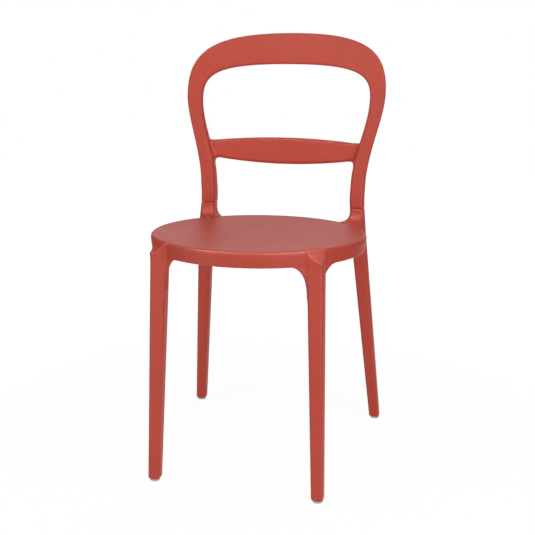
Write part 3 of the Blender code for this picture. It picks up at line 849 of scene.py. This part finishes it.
def build_floor():
    """Plain white floor. Direct rays see it white, with a share of the chair's shadow."""
    material = bpy.data.materials.new("white_floor")
    material.use_nodes = True
    tree = material.node_tree
    tree.nodes.clear()
    output = tree.nodes.new("ShaderNodeOutputMaterial")
    plain = tree.nodes.new("ShaderNodeBsdfDiffuse")
    plain.inputs["Color"].default_value = (FLOOR_GREY, FLOOR_GREY, FLOOR_GREY, 1.0)
    faint = tree.nodes.new("ShaderNodeBsdfDiffuse")
    faint.inputs["Color"].default_value = (FLOOR_SHADOW_GREY, FLOOR_SHADOW_GREY, FLOOR_SHADOW_GREY, 1.0)
    glow = tree.nodes.new("ShaderNodeEmission")
    tree.links.new(distance_glow(tree, 0.5, 1.6), glow.inputs["Strength"])
    seen = tree.nodes.new("ShaderNodeAddShader")
    tree.links.new(faint.outputs[0], seen.inputs[0])
    tree.links.new(glow.outputs[0], seen.inputs[1])
    choice = tree.nodes.new("ShaderNodeMixShader")
    tree.links.new(white_switch(tree), choice.inputs[0])
    tree.links.new(plain.outputs[0], choice.inputs[1])
    tree.links.new(seen.outputs[0], choice.inputs[2])
    tree.links.new(choice.outputs[0], output.inputs["Surface"])
    half = 6.0
    corners = [(-half, -half, 0), (half, -half, 0), (half, half, 0), (-half, half, 0)]
    floor = flat_card("floor", corners, material)


def build_flags():
    """Two tall dark cards beside the chair, which only gloss shows. They keep the sides' colour deep."""
    material = bpy.data.materials.new("dark_card")
    material.use_nodes = True
    shader = material.node_tree.nodes["Principled BSDF"]
    shader.inputs["Base Color"].default_value = (0.03, 0.03, 0.03, 1.0)
    shader.inputs["Roughness"].default_value = 0.9
    height = 1.6
    for name, across, near, far in (("flag_left", -0.9, -0.6, 0.7), ("flag_right", 0.9, -0.35, 2.2)):
        corners = [(across, near, 0), (across, far, 0), (across, far, height), (across, near, height)]
        flag = flat_card(name, corners, material)
        flag.visible_camera = False
        flag.visible_diffuse = False
        flag.visible_shadow = False


def build_world():
    """White surroundings for direct rays, and soft even light for the chair."""
    world = bpy.data.worlds.new("studio")
    bpy.context.scene.world = world
    world.use_nodes = True
    tree = world.node_tree
    light = tree.nodes["Background"]
    light.inputs["Color"].default_value = (1.0, 1.0, 1.0, 1.0)
    light.inputs["Strength"].default_value = WORLD_LIGHT
    white = tree.nodes.new("ShaderNodeBackground")
    white.inputs["Color"].default_value = (1.0, 1.0, 1.0, 1.0)
    white.inputs["Strength"].default_value = 1.0
    choice = tree.nodes.new("ShaderNodeMixShader")
    tree.links.new(white_switch(tree), choice.inputs[0])
    tree.links.new(light.outputs[0], choice.inputs[1])
    tree.links.new(white.outputs[0], choice.inputs[2])
    tree.links.new(choice.outputs[0], tree.nodes["World Output"].inputs["Surface"])


def softbox(name, place, target, size, power):
    """Rectangular lamp of a width and height that faces a point."""
    lamp = bpy.data.lights.new(name, "AREA")
    lamp.shape = "RECTANGLE"
    lamp.size, lamp.size_y = size
    lamp.energy = power
    item = bpy.data.objects.new(name, lamp)
    item.location = place
    item.rotation_euler = (Vector(target) - Vector(place)).to_track_quat("-Z", "Y").to_euler()
    bpy.context.scene.collection.objects.link(item)
    return item


def build_lights():
    """Two low boxes in front, two high ones and a fill behind, which gloss doesn't show.

    The glints show only in gloss, as lines along the edges.
    """
    middle = (0.0, 0.0, 0.45)
    high_left, high_right = (-1.03, -1.14, 2.29), (1.16, -1.01, 2.29)
    large, small = (1.8, 1.2), (0.8, 0.4)
    softbox("left", (-2.1, -2.3, 0.6), middle, large, 18)
    softbox("right", (2.3, -2.0, 0.6), middle, large, 29)
    softbox("high_left", high_left, middle, small, 8)
    softbox("high_right", high_right, middle, small, 9)
    fill = softbox("fill_behind", (0.0, 2.7, 0.6), middle, large, 16)
    fill.visible_glossy = False
    fill.visible_camera = False
    rim = (0.0, -0.22, 0.43)
    for name, place, power in (("glint_left", high_left, 1.3), ("glint_right", high_right, 1.3)):
        glint = softbox(name, place, rim, (0.7, 0.5), power)
        glint.data.spread = math.radians(26)
        glint.visible_diffuse = False


def build_camera():
    """Camera where the photograph was taken from."""
    azimuth, distance, height = 0.2720, 1.4573, 0.7125
    pitch, yaw, roll, focal = 0.2217, -0.0322, 0.0121, 776.7
    off_centre = 16.0
    place = Vector((distance * math.sin(azimuth), -distance * math.cos(azimuth) + AXIS_Y, height))
    heading = azimuth + yaw
    ahead = Vector((-math.sin(heading), math.cos(heading), 0.0))
    side = Vector((math.cos(heading), math.sin(heading), 0.0))
    up = Vector((0.0, 0.0, 1.0))
    view = ahead * math.cos(pitch) - up * math.sin(pitch)
    upright = up * math.cos(pitch) + ahead * math.sin(pitch)
    right = side * math.cos(roll) + upright * math.sin(roll)
    top = upright * math.cos(roll) - side * math.sin(roll)
    camera = bpy.data.cameras.new("camera")
    camera.sensor_width = 36.0
    camera.lens = focal / IMAGE_SIZE * camera.sensor_width
    camera.shift_x = -off_centre / IMAGE_SIZE
    item = bpy.data.objects.new("camera", camera)
    turn = Matrix((right, top, -view)).transposed().to_4x4()
    item.matrix_world = Matrix.Translation(place) @ turn
    bpy.context.scene.collection.objects.link(item)
    bpy.context.scene.camera = item


build_camera()
build_mouldings(moulded_plastic())
dress_nodes()
build_floor()
build_flags()
build_world()
build_lights()
bpy.context.scene.view_settings.view_transform = "Standard"
